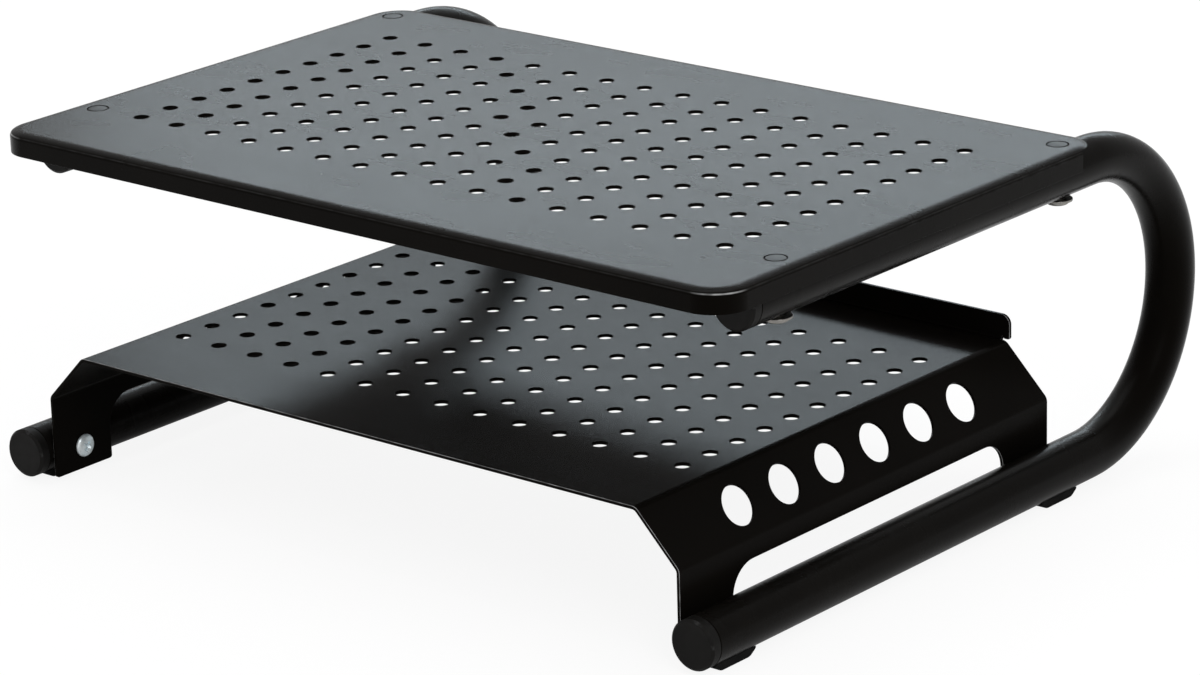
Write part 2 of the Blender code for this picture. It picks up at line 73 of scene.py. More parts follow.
# Top shelf: rolled edge, corners, rim, and the reliefs where the legs come out
PAN_LOW, PAN_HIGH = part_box("top_shelf")
TOP_Z = PAN_HIGH.z
PAN_RIM_HEIGHT = PAN_HIGH.z - PAN_LOW.z
PAN_CORNER_RADIUS = 0.0150
PAN_EDGE_RADIUS = 0.0030
PAN_EDGE_STEPS = 8
PAN_ROLL_RADIUS = 0.0020

# The pan's shallow crown before its roll, as lean in degrees and the length in which it is reached
PAN_CROWN = ((0, 0.0001), (3, 0.0006), (7, 0.0007), (11, 0.0007), (16, 0.0007), (22, 0.0007),
             (28, 0.0006))

# The band of the pan's roll that carries a painted highlight at the corners, as the upward share of
# its normal
PAN_HIGHLIGHT_LOW, PAN_HIGHLIGHT_HIGH = 0.50, 0.65
RELIEF_INSIDE_X = 0.1620
RELIEF_STEP = 0.0002
INSERT_HOLE_RADIUS = 0.0045

# Perforation, the same pitch on both shelves; on the pan the punch draws the wall down a little
PUNCH_DEPTH = 0.0004
PUNCH_SPREAD = 0.0012
HOLE_RADIUS = 0.0032
HOLE_SIDES = 28
HOLE_PITCH_X = 0.0200
HOLE_PITCH_Y = 0.0165
HOLE_ROWS = 10
TOP_HOLE_COLUMNS = 16
TOP_GRID_Y = -0.0322
DECK_HOLE_COLUMNS = 14
DECK_GRID_Y = -0.0352

# Lower shelf: the flat blank's sizes, the folds that shape it, and how strongly the painted
# highlight shows on the deck's edges
SHELF_LOW, SHELF_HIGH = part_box("lower_shelf")
DECK_Z = 0.0570
DECK_HALF_WIDTH = 0.1437
FLANGE_X = SHELF_HIGH.x
FLANGE_TOP_Z = 0.0367
FLANGE_BOTTOM_Z = SHELF_LOW.z
SHELF_FRONT_Y = SHELF_LOW.y
LIP_FACE_Y = SHELF_HIGH.y - SHELF_SHEET
LIP_HEIGHT = SHELF_HIGH.z - DECK_Z
LIP_HALF_WIDTH = 0.1448
LIP_FOLD_RADIUS = 0.0008
LIP_CORNER_RADIUS = 0.0040
LIP_FOOT_RADIUS = 0.0010
LIP_FOOT_INNER_RADIUS = 0.0009
LIP_SLOT_WIDTH = 0.0005
LIP_SLOT_RADIUS = 0.0002
LIP_SLOT_INSET = 0.0004
LIP_FOOT_CLEARANCE = 0.0005
SIDE_REAR_Y = LIP_FACE_Y - LIP_FOLD_RADIUS
DECK_EDGE_HIGHLIGHT = 0.08
FOLD_RADIUS = 0.0040
FOLD_STEPS = 8
LIP_FOLD_STEPS = 6
TAB_LENGTH = 0.0310
TAB_CORNER_RADIUS = 0.0012
NOTCH_TOP_Z = 0.0280
NOTCH_CORNER_RADIUS = 0.0120
SIDE_HOLE_LONG = 0.0094
SIDE_HOLE_SHORT = 0.0071
SIDE_HOLE_LEAN = math.radians(46)
SIDE_HOLE_DROP = 0.0010
SIDE_HOLE_PITCH = 0.0281
SIDE_HOLE_COUNT = 6
SIDE_HOLE_SIDES = 48
SCREW_HOLE_RADIUS = 0.0026
SCREW_HOLE_SIDES = 16

# Leg tubes
TUBE_RADIUS = 0.0100
TUBE_WALL = 0.0012
TUBE_SIDES = 56
TUBE_END_CHAMFER = 0.0002
BEND_STEPS = 56
TUBE_LOW, TUBE_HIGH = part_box("right_leg_tube")
TUBE_X = (TUBE_LOW.x + TUBE_HIGH.x) / 2
LOWER_AXIS_Z = TUBE_LOW.z + TUBE_RADIUS
UPPER_AXIS_Z = TOP_Z - SHEET - GAP - TUBE_RADIUS
BEND_RADIUS = (UPPER_AXIS_Z - LOWER_AXIS_Z) / 2
BEND_Y = TUBE_HIGH.y - TUBE_RADIUS - BEND_RADIUS
LOWER_TUBE_FRONT_Y = TUBE_LOW.y
UPPER_TUBE_FRONT_Y = -0.1280
DRILL_SIDES = 32
INSERT_DRILL_RADIUS = 0.0042
BOLT_DRILL_RADIUS = 0.0024
NUT_DRILL_RADIUS = 0.0040

# Tube end plugs
PLUG_HEAD_LENGTH = 0.0050
PLUG_CHAMFER = 0.0010
PLUG_FILLET = 0.00035
PLUG_STEM_LENGTH = 0.0100
PLUG_STEM_RADIUS = TUBE_RADIUS - TUBE_WALL - 2 * GAP
TURN_STEPS = 48
FILLET_STEPS = 4

# Feet
FOOT_BLOCK_HEIGHT = 0.0060
FOOT_END_RUN = 0.0036
FOOT_END_RISE = 0.0024
FOOT_END_ROUND = 0.0012
FOOT_SOLE_ROUND = 0.0040
FOOT_SIDE_ROUND = 0.0007
FOOT_ROUND_STEPS = 5
SADDLE_SIDES = 64
SADDLE_GAP = 0.0001

# Shelf inserts, washers, bolts and tab screws
INSERT_HEAD_RADIUS = 0.00415
INSERT_STEM_RADIUS = 0.0036
INSERT_LENGTH = 0.0140
INSERT_BORE_DEPTH = 0.0110
INSERT_EDGE = 0.0005
WASHER_RADIUS = 0.0060
WASHER_THICKNESS = 0.0010
WASHER_EDGE = 0.00025
BOLT_SHANK_RADIUS = 0.0020
BOLT_SHANK_LENGTH = 0.0185
BOLT_HEAD_RADIUS = 0.0044
BOLT_HEAD_HEIGHT = 0.0016
SCREW_SHANK_RADIUS = 0.0023
SCREW_SHANK_LENGTH = 0.0110
SCREW_HEAD_RADIUS = 0.0047
SCREW_HEAD_HEIGHT = 0.0021
HEAD_WALL_SHARE = 0.30
HEAD_STEPS = 10
HEAD_RIM_ROUND = 0.00015
RECESS_SPAN = 0.0052
RECESS_WIDTH = 0.0011
RECESS_DEPTH_SHARE = 0.65
RECESS_TAPER = 0.45

# Each next screw is turned this much further
SCREW_TURN = math.radians(37)

# Studio floor: its paint, and how far it is whitened for the camera and in what mirrors it
FLOOR_HALF_SIZE = 6.0
FLOOR_COLOUR = (0.90, 0.90, 0.90, 1.0)
FLOOR_ROUGHNESS = 0.9
FLOOR_WHITE_LEVEL = 1.03
FLOOR_WHITE_SHARE = 0.87
FLOOR_MIRRORED_SHARE = 0.15

# Light: a white room, and lamps as name, place, target, roll, width, height, watts, colour
ROOM_COLOUR = (1.0, 1.0, 1.0, 1.0)
ROOM_LEVEL = 0.6
LAMPS = (
    ("key_lamp", (-0.4, 0.3, 2.5), (0, -0.03, 0.08), 0, 1.8, 1.8, 22.0, (1.0, 1.0, 1.0)),
    ("back_lamp", (-1.185, 1.930, 0.89), (0, 0, 0.10), 1, 1.7, 0.18, 6.4, (0.86, 1.0, 1.08)),
    ("fill_lamp", (1.5, -0.9, 1.2), (0, -0.03, 0.08), 0, 0.8, 0.8, 9.0, (1.0, 1.0, 1.0)),
)

# The mesh layer that says how strongly a painted highlight shows along an edge
EDGE_HIGHLIGHT_LAYER = "painted_edge_highlight"

SIDES = ((-1, "left"), (1, "right"))
ENDS = ("front", "rear")


# Finishes

class Nodes:
    """Short ways of adding nodes to a tree."""

    def __init__(self, tree):
        self.tree = tree

    def node(self, kind, **links):
        made = self.tree.nodes.new(kind)
        for name, value in links.items():
            self.feed(made.inputs[name.replace("_", " ")], value)
        return made

    def feed(self, socket, value):
        if isinstance(value, bpy.types.NodeSocket):
            self.tree.links.new(value, socket)
        else:
            socket.default_value = value

    def ranged(self, value, low, high, to_low, to_high):
        made = self.node("ShaderNodeMapRange", Value=value, From_Min=low, From_Max=high,
                         To_Min=to_low, To_Max=to_high)
        return made.outputs["Result"]

    def blend(self, share, first, second):
        made = self.tree.nodes.new("ShaderNodeMix")
        made.data_type = "RGBA"
        # These are the colour sockets; the node has others of the same names
        self.feed(made.inputs[0], share)
        self.feed(made.inputs[6], first)
        self.feed(made.inputs[7], second)
        return made.outputs[2]

    def math(self, operation, first, second):
        made = self.tree.nodes.new("ShaderNodeMath")
        made.operation = operation
        self.feed(made.inputs[0], first)
        self.feed(made.inputs[1], second)
        return made.outputs["Value"]

    def mixed(self, share, first, second):
        made = self.node("ShaderNodeMixShader", Fac=share)
        self.feed(made.inputs[1], first)
        self.feed(made.inputs[2], second)
        return made.outputs["Shader"]


class Finish(Nodes):
    """A Principled material and short ways of adding texture to it."""

    def __init__(self, name):
        self.material = bpy.data.materials.new(name)
        self.material.use_nodes = True
        super().__init__(self.material.node_tree)
        self.shader = self.tree.nodes["Principled BSDF"]
        self.place = self.tree.nodes.new("ShaderNodeTexCoord").outputs["Object"]

    def noise(self, scale, detail, stretch=None):
        place = self.place
        if stretch:
            place = self.node("ShaderNodeMapping", Vector=place, Scale=stretch).outputs["Vector"]
        made = self.node("ShaderNodeTexNoise", Vector=place, Scale=scale, Detail=detail)
        return made.outputs["Fac"]

    def patches(self, pattern, to_low, to_high, stretch=None):
        """A pattern of noise, as values between the two given."""
        scale, detail, low, high = pattern
        return self.ranged(self.noise(scale, detail, stretch), low, high, to_low, to_high)

    def edges(self, low, high):
        """Nought on flat stretches, one along outer edges."""
        edge = self.tree.nodes.new("ShaderNodeNewGeometry").outputs["Pointiness"]
        return self.ranged(edge, low, high, 0.0, 1.0)

    def layer(self, name):
        """The values of a mesh layer, nought where a mesh has none."""
        made = self.tree.nodes.new("ShaderNodeAttribute")
        made.attribute_name = name
        return made.outputs["Fac"]

    def bump(self, height, distance, strength, under=None):
        made = self.node("ShaderNodeBump", Height=height, Distance=distance, Strength=strength)
        if under:
            self.feed(made.inputs["Normal"], under)
        return made.outputs["Normal"]

    def relief(self, pattern, strength, under=None):
        """A fine relief of noise."""
        scale, detail, depth = pattern
        return self.bump(self.noise(scale, detail), depth, strength, under)

    def shade(self, **links):
        for name, value in links.items():
            self.feed(self.shader.inputs[name.replace("_", " ")], value)


def grey(level, warmth=0.0):
    return (level * (1 + warmth), level, level * (1 - warmth), 1.0)


# Patterns of noise: how many to a metre, detail, and the levels that count as nought and as one
COAT_CLOUD = (14.0, 4.0, 0.35, 0.68)
COAT_FLECK = (2600.0, 2.0, 0.60, 0.76)
COAT_RUB = (160.0, 4.0, 0.42, 0.66)
# Patches that break up the painted edge highlight
COAT_HIGHLIGHT_PATCHES = (220.0, 4.0, 0.35, 0.65)
COAT_SMEAR = (30.0, 5.0, 0.3, 0.7)
PLASTIC_CLOUD = (90.0, 4.0, 0.35, 0.7)
PLASTIC_RUB = (500.0, 3.0, 0.40, 0.65)
PLASTIC_GLOSS = (240.0, 4.0, 0.3, 0.7)
RUBBER_DUST = (210.0, 5.0, 0.50, 0.78)
RUBBER_GLOSS = (320.0, 3.0, 0.3, 0.7)
ZINC_TINT = (170.0, 3.0, 0.3, 0.7)
ZINC_DULL = (420.0, 5.0, 0.52, 0.76)
ZINC_GLOSS = (600.0, 4.0, 0.3, 0.7)

# Reliefs of noise: how many to a metre, detail, and depth; then how strongly each shows
COAT_PEEL = (330.0, 2.0, 0.00030)
COAT_GRAIN = (1500.0, 2.0, 0.00012)
PLASTIC_GRAIN = (2600.0, 3.0, 0.00010)
RUBBER_GRAIN = (1900.0, 4.0, 0.00015)
COAT_GRAIN_STRENGTH = 0.16
PLASTIC_GRAIN_STRENGTH = 0.25
RUBBER_GRAIN_STRENGTH = 0.35
ZINC_RINGS_SCALE = 900.0
ZINC_RINGS_DISTORTION = 1.5
ZINC_RINGS_DEPTH = 0.00004
ZINC_RINGS_STRENGTH = 0.20

# Pointiness at which an outer edge begins to be rubbed, and at which it is rubbed in full
COAT_EDGE = (0.54, 0.64)
PLASTIC_EDGE = (0.52, 0.60)
# On zinc, where its pale edge, partly polish and partly painted highlight, begins and is full
ZINC_EDGE = (0.53, 0.62)

# Colours, the most or least share of them, roughness from and to, and refraction
COAT_DARK = grey(0.0026, 0.20)
COAT_LIGHT = grey(0.0038, 0.20)
COAT_WORN = grey(0.022)
# The pale colour of the painted highlight on edges
COAT_HIGHLIGHT_COLOUR = grey(0.42)
COAT_FLECK_MOST = 0.03
COAT_HIGHLIGHT_LEAST = 0.35
COAT_SMEAR_STRETCH = (1.0, 2.2, 1.0)
PLASTIC_DARK = grey(0.0040, 0.10)
PLASTIC_LIGHT = grey(0.0065, 0.10)
PLASTIC_WORN = grey(0.040)
PLASTIC_RUB_MOST = 0.6
PLASTIC_ROUGHNESS = (0.40, 0.56)
PLASTIC_IOR = 1.20
RUBBER_DARK = grey(0.0030)
RUBBER_DUSTY = grey(0.010, 0.04)
RUBBER_DUST_MOST = 0.5
RUBBER_ROUGHNESS = (0.68, 0.88)
RUBBER_IOR = 1.22
ZINC_DULL_MOST = 0.6
ZINC_ROUGHNESS = (0.24, 0.42)

# Powder coats: smoothest, roughest, refraction, sheen seen face on, orange peel, rubbed edges
TOP_COAT = (0.263, 0.277, 1.174, 0.06, 0.05, 0.55)
SHELF_COAT = (0.232, 0.248, 1.114, 0.06, 0.05, 0.0)
TUBE_COAT = (0.22, 0.32, 1.20, 0.06, 0.04, 0.3)
INSERT_COAT = (0.26, 0.32, 1.165, 0.10, 0.10, 0.55)

# Zinc: its two tints, dulled patches, pale edges that are partly polish and partly a painted
# highlight, and how metallic it is
BRIGHT_ZINC = ((0.80, 0.93, 0.98, 1.0), (0.90, 0.94, 0.94, 1.0), (0.48, 0.55, 0.58, 1.0),
               (0.95, 0.98, 1.0, 1.0), 0.65)
DARK_ZINC = ((0.20, 0.20, 0.195, 1.0), (0.30, 0.28, 0.25, 1.0), (0.07, 0.07, 0.07, 1.0),
             (0.95, 0.93, 0.88, 1.0), 1.0)


def powder_coat(name, smoothest, roughest, ior, sheen, peel_strength, rub):
    """Satin powder coat: cloudy black, orange peel, smears in the gloss, rubbed edges, and a
    painted highlight along the edges that the mesh layer marks.
    """
    finish = Finish(name)
    colour = finish.blend(finish.patches(COAT_CLOUD, 0.0, 1.0), COAT_DARK, COAT_LIGHT)
    colour = finish.blend(finish.patches(COAT_FLECK, 0.0, COAT_FLECK_MOST), colour, COAT_WORN)
    rubbed = finish.math("MULTIPLY", finish.edges(*COAT_EDGE), finish.patches(COAT_RUB, 0.0, rub))
    colour = finish.blend(rubbed, colour, COAT_WORN)
    # Painted highlight: the pale colour laid where the mesh layer asks for it, broken into patches
    painted_highlight = finish.math("MULTIPLY", finish.layer(EDGE_HIGHLIGHT_LAYER),
                        finish.patches(COAT_HIGHLIGHT_PATCHES, COAT_HIGHLIGHT_LEAST, 1.0))
    colour = finish.blend(painted_highlight, colour, COAT_HIGHLIGHT_COLOUR)
    roughness = finish.patches(COAT_SMEAR, smoothest, roughest, COAT_SMEAR_STRETCH)
    peel = finish.relief(COAT_PEEL, peel_strength)
    grain = finish.relief(COAT_GRAIN, COAT_GRAIN_STRENGTH, peel)
    finish.shade(Base_Color=colour, Roughness=roughness, Normal=grain, IOR=ior,
                 Specular_Tint=grey(sheen))
    return finish.material


def plug_plastic(name):
    """Moulded plastic with a fine spark-eroded grain and rubbed edges."""
    finish = Finish(name)
    colour = finish.blend(finish.patches(PLASTIC_CLOUD, 0.0, 1.0), PLASTIC_DARK, PLASTIC_LIGHT)
    rubbed = finish.math("MULTIPLY", finish.edges(*PLASTIC_EDGE),
                         finish.patches(PLASTIC_RUB, 0.0, PLASTIC_RUB_MOST))
    colour = finish.blend(rubbed, colour, PLASTIC_WORN)
    finish.shade(Base_Color=colour, Roughness=finish.patches(PLASTIC_GLOSS, *PLASTIC_ROUGHNESS),
                 Normal=finish.relief(PLASTIC_GRAIN, PLASTIC_GRAIN_STRENGTH), IOR=PLASTIC_IOR)
    return finish.material


def foot_rubber(name):
    """Matt rubber with dusty patches."""
    finish = Finish(name)
    dust = finish.patches(RUBBER_DUST, 0.0, RUBBER_DUST_MOST)
    finish.shade(Base_Color=finish.blend(dust, RUBBER_DARK, RUBBER_DUSTY),
                 Roughness=finish.patches(RUBBER_GLOSS, *RUBBER_ROUGHNESS),
                 Normal=finish.relief(RUBBER_GRAIN, RUBBER_GRAIN_STRENGTH), IOR=RUBBER_IOR)
    return finish.material


def zinc_plate(name, first_tint, second_tint, dulled, polish_and_highlight, metal):
    """Zinc plate: two tints, dulled patches, edges made pale as polish and as a painted highlight,
    and the rings that turning leaves.
    """
    finish = Finish(name)
    colour = finish.blend(finish.patches(ZINC_TINT, 0.0, 1.0), first_tint, second_tint)
    colour = finish.blend(finish.patches(ZINC_DULL, 0.0, ZINC_DULL_MOST), colour, dulled)
    # Pale edges: polish, and a painted highlight along the rims
    colour = finish.blend(finish.edges(*ZINC_EDGE), colour, polish_and_highlight)
    rings = finish.node("ShaderNodeTexWave", Vector=finish.place, Scale=ZINC_RINGS_SCALE,
                        Distortion=ZINC_RINGS_DISTORTION)
    rings.wave_type = "RINGS"
    rings.rings_direction = "Z"
    turning = finish.bump(rings.outputs["Fac"], ZINC_RINGS_DEPTH, ZINC_RINGS_STRENGTH)
    finish.shade(Base_Color=colour, Roughness=finish.patches(ZINC_GLOSS, *ZINC_ROUGHNESS),
                 Metallic=metal, Normal=turning)
    return finish.material


def make_finishes():
    return {
        "powder_coat_sheet": powder_coat("top_powder_coat", *TOP_COAT),
        "powder_coat_shelf": powder_coat("shelf_powder_coat", *SHELF_COAT),
        "powder_coat_tube": powder_coat("tube_powder_coat", *TUBE_COAT),
        "insert_steel": powder_coat("insert_powder_coat", *INSERT_COAT),
        "plug_plastic": plug_plastic("plug_plastic_grain"),
        "foot_rubber": foot_rubber("foot_rubber_matt"),
        "zinc_plate": zinc_plate("zinc_plate_bright", *BRIGHT_ZINC),
        "zinc_steel": zinc_plate("zinc_steel_dark", *DARK_ZINC),
    }


# Mesh helpers

def add_piece(node, mesh, slot, place=Matrix.Identity(4), finish=None):
    """Puts a mesh in place of a solid."""
    piece = bpy.data.objects.new(node + "_look", mesh)
    mesh.materials.clear()
    mesh.materials.append(FINISHES[finish or slot])
    bpy.context.scene.collection.objects.link(piece)
    piece.matrix_world = place
    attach(piece, "root")
    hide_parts(node)
    return piece


def evaluated(holder):
    graph = bpy.context.evaluated_depsgraph_get()
    return bpy.data.meshes.new_from_object(
        holder.evaluated_get(graph), preserve_all_data_layers=True, depsgraph=graph)


def worked(name, mesh, cutters=()):
    """The mesh less its cutters, with smooth faces and normals that follow the larger ones."""
    holder = bpy.data.objects.new(name, mesh)
    bpy.context.scene.collection.objects.link(holder)
    tools = []
    for cutter in cutters:
        tool = bpy.data.objects.new(cutter.name, cutter)
        bpy.context.scene.collection.objects.link(tool)
        tools.append(tool)
        cut = holder.modifiers.new(cutter.name, "BOOLEAN")
        cut.operation = "DIFFERENCE"
        cut.solver = "MANIFOLD"
        cut.object = tool
    if tools:
        holder.data = evaluated(holder)
        holder.modifiers.clear()
    holder.data.shade_smooth()
    holder.data.set_sharp_from_angle(angle=SMOOTH_ANGLE)
    weights = holder.modifiers.new("normals", "WEIGHTED_NORMAL")
    weights.keep_sharp = True
    made = evaluated(holder)
    made.name = name
    for extra in (holder, *tools):
        bpy.data.objects.remove(extra, do_unlink=True)
    return made


def to_mesh(bm, name):
    mesh = bpy.data.meshes.new(name)
    bm.to_mesh(mesh)
    bm.free()
    return mesh


def add_box(bm, low, high):
    low = Vector(low)
    high = Vector(high)
    place = Matrix.Translation((low + high) / 2) @ Matrix.Diagonal((*(high - low), 1.0))
    return bmesh.ops.create_cube(bm, size=1.0, matrix=place)["verts"]


def add_cylinder(bm, radius, length, centre, axis, sides):
    turn = Vector((0, 0, 1)).rotation_difference(Vector(axis)).to_matrix().to_4x4()
    bmesh.ops.create_cone(bm, cap_ends=True, segments=sides, radius1=radius, radius2=radius,
                          depth=length, matrix=Matrix.Translation(Vector(centre)) @ turn)


def rounded(corners, steps, closed):
    """A line through (x, y, radius) corners, with an arc at each corner that has a radius."""
    line = []
    last = len(corners) - 1
    for index, (x, y, radius) in enumerate(corners):
        here = Vector((x, y))
        if radius == 0 or (not closed and index in (0, last)):
            line.append(here)
            continue
        back = (Vector(corners[index - 1][:2]) - here).normalized()
        ahead = (Vector(corners[(index + 1) % len(corners)][:2]) - here).normalized()
        half = back.angle(ahead) / 2
        centre = here + (back + ahead).normalized() * radius / math.sin(half)
        arm = here + back * radius / math.tan(half) - centre
        sweep = math.copysign(math.pi - 2 * half, (-back).cross(ahead))
        for step in range(steps + 1):
            line.append(centre + Matrix.Rotation(sweep * step / steps, 2) @ arm)
    return line


def oval(centre, long, short, lean, sides):
    """A clockwise closed loop, as a hole's edge."""
    turn = Matrix.Rotation(lean, 2)
    loop = []
    for step in range(sides):
        angle = -2 * math.pi * step / sides
        arm = Vector((long * math.cos(angle), short * math.sin(angle)))
        loop.append(Vector(centre) + turn @ arm)
    return loop


def round_hole(x, y, radius, sides):
    return oval((x, y), radius, radius, 0.0, sides)


def hole_grid(columns, centre_y):
    first_x = -HOLE_PITCH_X * (columns - 1) / 2
    first_y = centre_y - HOLE_PITCH_Y * (HOLE_ROWS - 1) / 2
    return [round_hole(first_x + column * HOLE_PITCH_X, first_y + row * HOLE_PITCH_Y,
                       HOLE_RADIUS, HOLE_SIDES)
            for column in range(columns) for row in range(HOLE_ROWS)]


def ways_out(loop):
    """At each point of a closed loop the way out of the sheet, as long as a miter needs."""
    ways = []
    for index, here in enumerate(loop):
        first = (here - loop[index - 1]).normalized()
        second = (loop[(index + 1) % len(loop)] - here).normalized()
        way = Vector((first.y + second.y, -first.x - second.x))
        ways.append(way * 2 / way.length_squared)
    return ways


def quarter(steps):
    return [math.pi / 2 * step / steps for step in range(steps + 1)]


def cut_edge(thickness, radius=CUT_EDGE_RADIUS):
    """A sheet's rounded cut edge, as (inset, depth, way out, way up) from its face to its back."""
    margin = radius + EDGE_MARGIN
    upper = [(radius * (1 - math.sin(a)), radius * (math.cos(a) - 1), math.sin(a), math.cos(a))
             for a in quarter(CUT_EDGE_STEPS)]
    lower = [(radius * (1 - math.cos(a)), radius * (1 - math.sin(a)) - thickness,
              math.cos(a), -math.sin(a)) for a in quarter(CUT_EDGE_STEPS)]
    return [(margin, 0.0, 0.0, 1.0)] + upper + lower + [(margin, -thickness, 0.0, -1.0)]


def punched_edge(thickness):
    """A punched hole's edge: its wall is drawn down past the sheet's back and tapers off there."""
    wall = cut_edge(thickness + PUNCH_DEPTH)[:-1]
    return wall + [(PUNCH_SPREAD, -thickness, 0.0, -1.0)]


def pan_roll():
    """The pan's edge from its flat face over a shallow crown to its upright rim."""
    run = 0.0
    drop = 0.0
    lean = 0.0
    path = [(run, drop, lean)]
    for degrees, length in PAN_CROWN:
        middle = (lean + math.radians(degrees)) / 2
        run += length * math.cos(middle)
        drop -= length * math.sin(middle)
        lean = math.radians(degrees)
        path.append((run, drop, lean))
    for step in range(1, PAN_EDGE_STEPS + 1):
        angle = lean + (math.pi / 2 - lean) * step / PAN_EDGE_STEPS
        path.append((run + PAN_ROLL_RADIUS * (math.sin(angle) - math.sin(lean)),
                     drop - PAN_ROLL_RADIUS * (math.cos(lean) - math.cos(angle)), angle))
    reach = path[-1][0]
    return [(reach - along, depth, math.sin(angle), math.cos(angle))
            for along, depth, angle in path]


def pan_rim():
    """The pan's rolled edge, its rim with a rounded foot, and the rim's inner side."""
    outer = PAN_EDGE_RADIUS
    inner = PAN_EDGE_RADIUS - SHEET
    r = CUT_EDGE_RADIUS
    foot = r - PAN_RIM_HEIGHT
    outside = [(r * (1 - math.cos(a)), foot - r * math.sin(a), math.cos(a), -math.sin(a))
               for a in quarter(CUT_EDGE_STEPS)]
    inside = [(SHEET - r * (1 - math.sin(a)), foot - r * math.cos(a), -math.sin(a), -math.cos(a))
              for a in quarter(CUT_EDGE_STEPS)]
    back = [(outer - inner * math.cos(a), inner * math.sin(a) - outer, -math.cos(a), -math.sin(a))
            for a in quarter(PAN_EDGE_STEPS)]
    return pan_roll() + outside + inside + back


def blank(outline, holes, creases):
    """A flat sheet: its points, normals and faces.  The outline and the holes are loops with their
    edge profiles; creases are pairs of outline points."""
    points = []
    normals = []
    faces = []
    uppers = []
    lowers = []
    for loop, profile in [outline] + holes:
        rings = []
        ways = ways_out(loop)
        for inset, depth, out, up in profile:
            rings.append(range(len(points), len(points) + len(loop)))
            for place, way in zip(loop, ways):
                points.append((*(place - way * inset), depth))
                normals.append((*(way.normalized() * out), up))
        for upper, lower in zip(rings, rings[1:]):
            for index in range(len(loop)):
                following = (index + 1) % len(loop)
                faces.append((upper[index], lower[index], lower[following], upper[following]))
        uppers.append(rings[0])
        lowers.append(rings[-1])

    spots = [Vector(points[index][:2]) for ring in uppers for index in ring]
    above = [index for ring in uppers for index in ring]
    below = [index for ring in lowers for index in ring]
    loops = []
    start = 0
    for ring in uppers:
        order = list(range(start, start + len(ring)))
        loops.append(order if start == 0 else order[::-1])
        start += len(ring)
    filled = delaunay_2d_cdt(spots, creases, loops, 0, FILL_TOLERANCE)
    origins = [origin[0] for origin in filled[3]]
    for corners, owners in zip(filled[2], filled[5]):
        if list(owners) == [0]:
            spot = [origins[corner] for corner in corners]
            faces.append([above[corner] for corner in spot])
            faces.append([below[corner] for corner in reversed(spot)])
    return points, normals, faces


# The top shelf

def make_top_shelf():
    outline = rounded([(x, y, PAN_CORNER_RADIUS) for x, y in (
        (PAN_LOW.x, PAN_LOW.y), (PAN_HIGH.x, PAN_LOW.y), (PAN_HIGH.x, PAN_HIGH.y),
        (PAN_LOW.x, PAN_HIGH.y))], 2 * ARC_STEPS, True)
    holes = [(loop, punched_edge(SHEET)) for loop in hole_grid(TOP_HOLE_COLUMNS, TOP_GRID_Y)]
    for _, side_name in SIDES:
        for end in ENDS:
            low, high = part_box(f"{side_name}_{end}_shelf_insert")
            middle = (low + high) / 2
            holes.append((round_hole(middle.x, middle.y, INSERT_HOLE_RADIUS, SIDE_HOLE_SIDES),
                          cut_edge(SHEET)))
    rim = pan_rim()
    points, normals, faces = blank((outline, rim), holes, [])
    mesh = bpy.data.meshes.new("pan")
    mesh.from_pydata([(x, y, z + TOP_Z) for x, y, z in points], [], faces)
    # Painted highlight: a pale arc on the roll at each corner, strongest midway round the corner
    edge_highlight = mesh.attributes.new(EDGE_HIGHLIGHT_LAYER, "FLOAT", "POINT").data
    for index, (out_x, out_y, up) in enumerate(normals[:len(outline) * len(rim)]):
        if PAN_HIGHLIGHT_LOW < up < PAN_HIGHLIGHT_HIGH:
            edge_highlight[index].value = 2 * abs(out_x * out_y) / (1 - up * up)

    reliefs = []
    for side, side_name in SIDES:
        bm = bmesh.new()
        ends = sorted((side * RELIEF_INSIDE_X, side * (PAN_HIGH.x + OVERRUN)))
        add_box(bm, (ends[0], PAN_HIGH.y - PAN_CORNER_RADIUS, PAN_LOW.z - OVERRUN),
                (ends[1], PAN_HIGH.y + OVERRUN, TOP_Z - SHEET + RELIEF_STEP))
        reliefs.append(to_mesh(bm, side_name + "_relief"))
    add_piece("top_shelf", worked("pan", mesh, reliefs), "powder_coat_sheet")


# The lower shelf: its developed lengths from the deck's middle outward, and along its lip

SLOPE = math.atan2(DECK_Z - FLANGE_TOP_Z, FLANGE_X - DECK_HALF_WIDTH)
SLANT = math.hypot(DECK_Z - FLANGE_TOP_Z, FLANGE_X - DECK_HALF_WIDTH)
UPPER_TANGENT = FOLD_RADIUS * math.tan(SLOPE / 2)
LOWER_TANGENT = FOLD_RADIUS * math.tan(math.pi / 4 - SLOPE / 2)
DECK_FLAT = DECK_HALF_WIDTH - UPPER_TANGENT
SLANT_FLAT = SLANT - UPPER_TANGENT - LOWER_TANGENT
FLANGE_FLAT = FLANGE_TOP_Z - LOWER_TANGENT - FLANGE_BOTTOM_Z
RUNS = ((DECK_FLAT, 0.0), (FOLD_RADIUS * SLOPE, SLOPE), (SLANT_FLAT, 0.0),
        (FOLD_RADIUS * (math.pi / 2 - SLOPE), math.pi / 2 - SLOPE), (FLANGE_FLAT, 0.0))
SLANT_START = RUNS[0][0] + RUNS[1][0]
SLANT_END = SLANT_START + SLANT_FLAT
FLANGE_START = SLANT_END + RUNS[3][0]
FLANGE_END = FLANGE_START + FLANGE_FLAT
NOTCH_EDGE = FLANGE_END - (NOTCH_TOP_Z - FLANGE_BOTTOM_Z)
LIP_START = LIP_FACE_Y - LIP_FOLD_RADIUS
LIP_STRAIGHT = LIP_START + LIP_FOLD_RADIUS * math.pi / 2
LIP_END = LIP_STRAIGHT + LIP_HEIGHT - LIP_FOLD_RADIUS
LIP_FOOT = SIDE_REAR_Y + LIP_FOOT_CLEARANCE
SLOT_OUTSIDE = DECK_FLAT - LIP_SLOT_INSET
